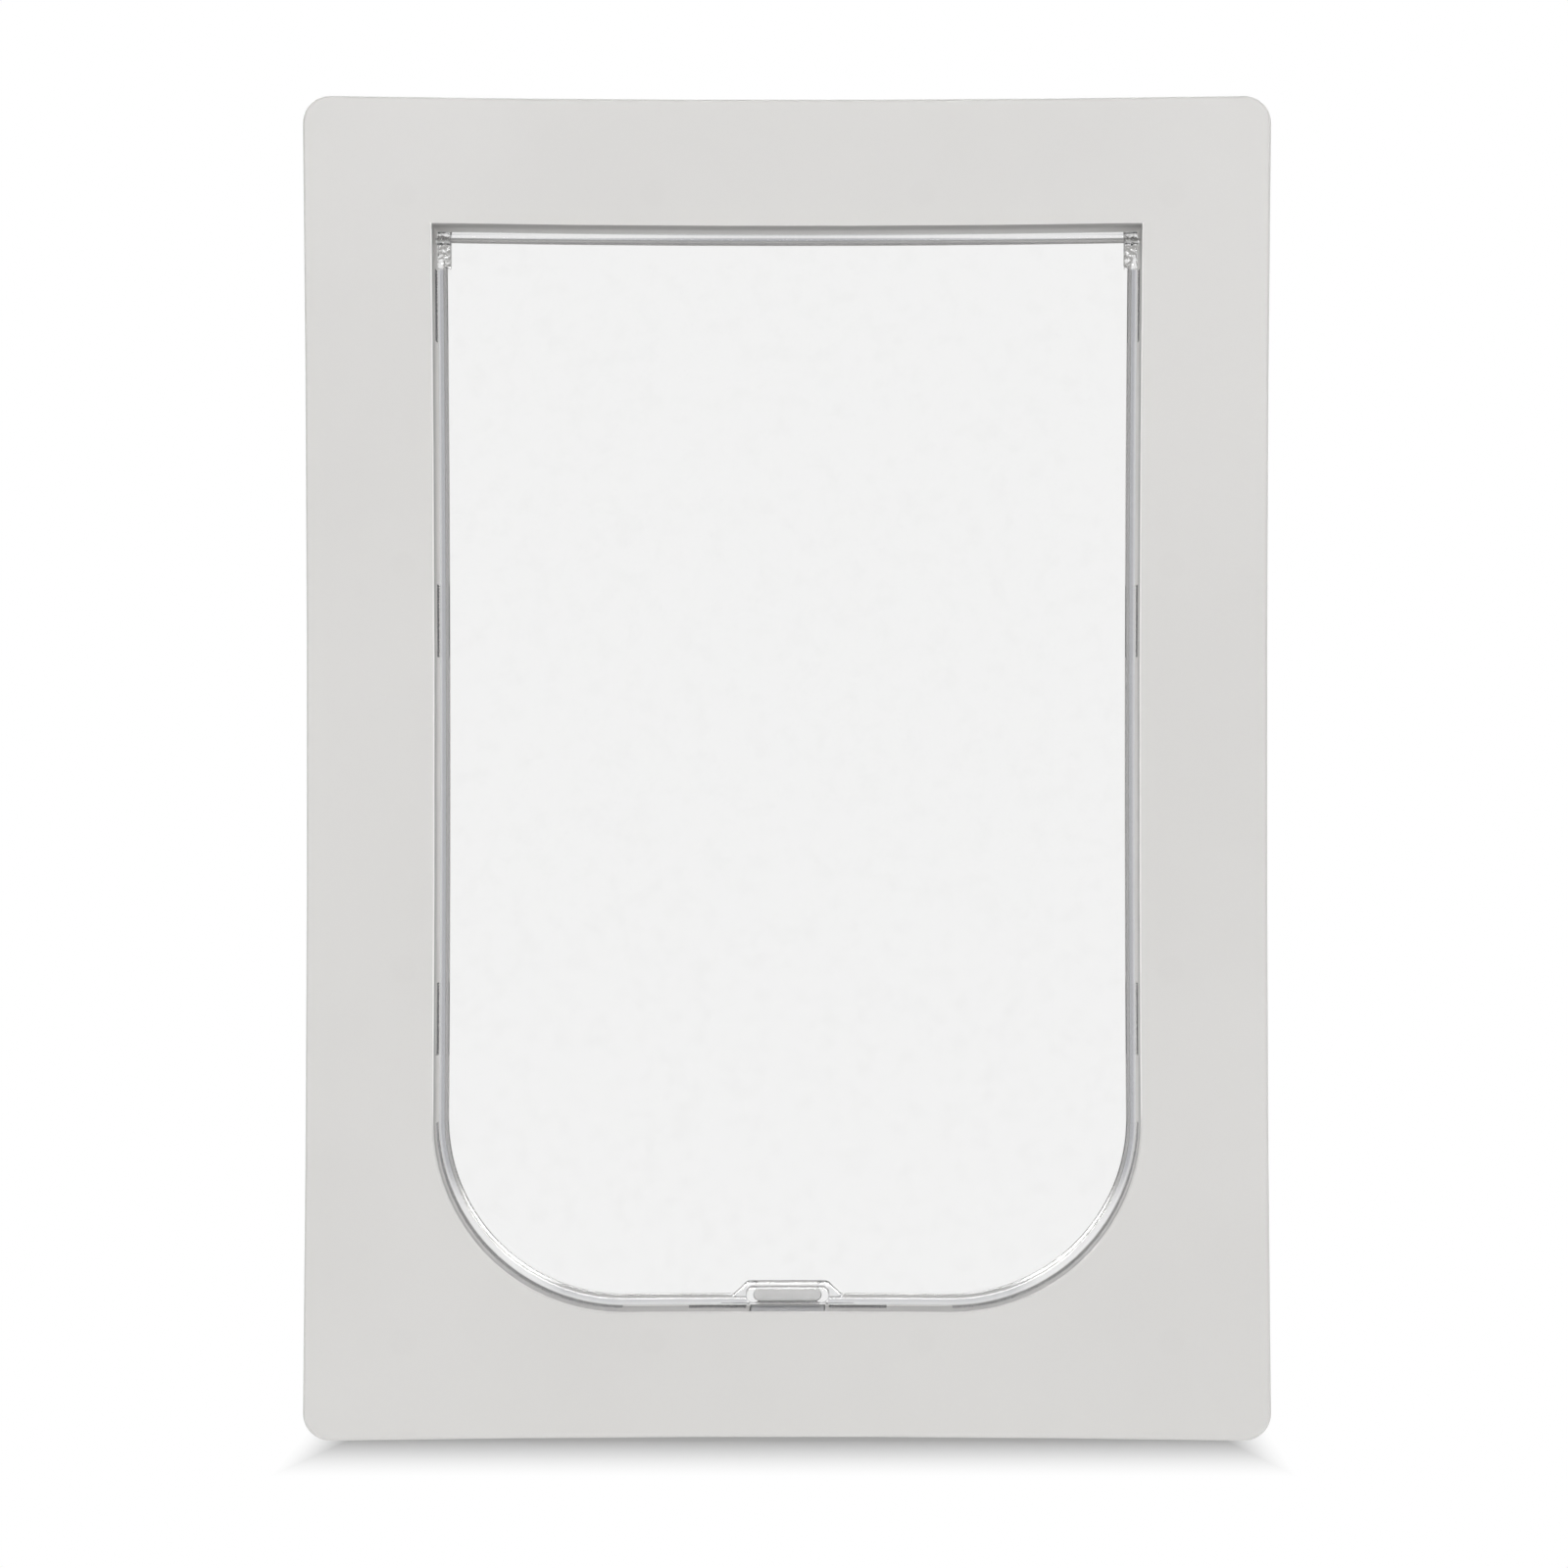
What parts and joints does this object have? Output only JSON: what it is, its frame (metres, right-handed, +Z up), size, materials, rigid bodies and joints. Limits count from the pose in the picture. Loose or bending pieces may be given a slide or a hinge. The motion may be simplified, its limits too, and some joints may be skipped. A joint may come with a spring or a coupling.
{
  "type": "pet door",
  "caption": "Through-the-door pet flap: a clear flap on hinge pins in a light moulded tunnel, clamped to a door by plates on both faces and held shut by magnets.",
  "frame": {"origin": "centre of the whole unit: the middle of the two plates and of the door's thickness", "axes": "-Y is the outdoor side and points at the viewer of the picture, +Y is indoors, +X is to the right seen from outdoors, and +Z is up"},
  "size_m": [0.3598, 0.058, 0.4996],
  "materials": {
    "frame_plastic": "light warm grey moulded ABS, matte",
    "clear_plastic": "clear colourless moulded polycarbonate, polished",
    "pin_steel": "turned stainless steel",
    "plated_magnet": "nickel plated magnet",
    "grey_magnet": "grey sintered ferrite",
    "pile": "grey woven pile",
    "screw_steel": "bright zinc plated steel"
  },
  "bodies": {
    "frame": {"outer_frame": "frame_plastic", "inner_frame": "frame_plastic", "hinge_pin_left": "pin_steel", "hinge_pin_right": "pin_steel", "keeper_magnet": "grey_magnet", "side_strips_left": "pile", "side_strips_right": "pile", "corner_strip_left": "pile", "corner_strip_right": "pile", "sill_strips": "pile", "frame_screws": "screw_steel"},
    "flap": {"flap": "clear_plastic", "flap_magnet": "plated_magnet"}
  },
  "joints": [
    {"name": "flap_swing", "type": "hinge", "parent": "frame", "child": "flap", "pos_m": [0, -0.011, 0.1977], "axis": [1, 0, 0], "range_deg": [-90, 90]}
  ]
}
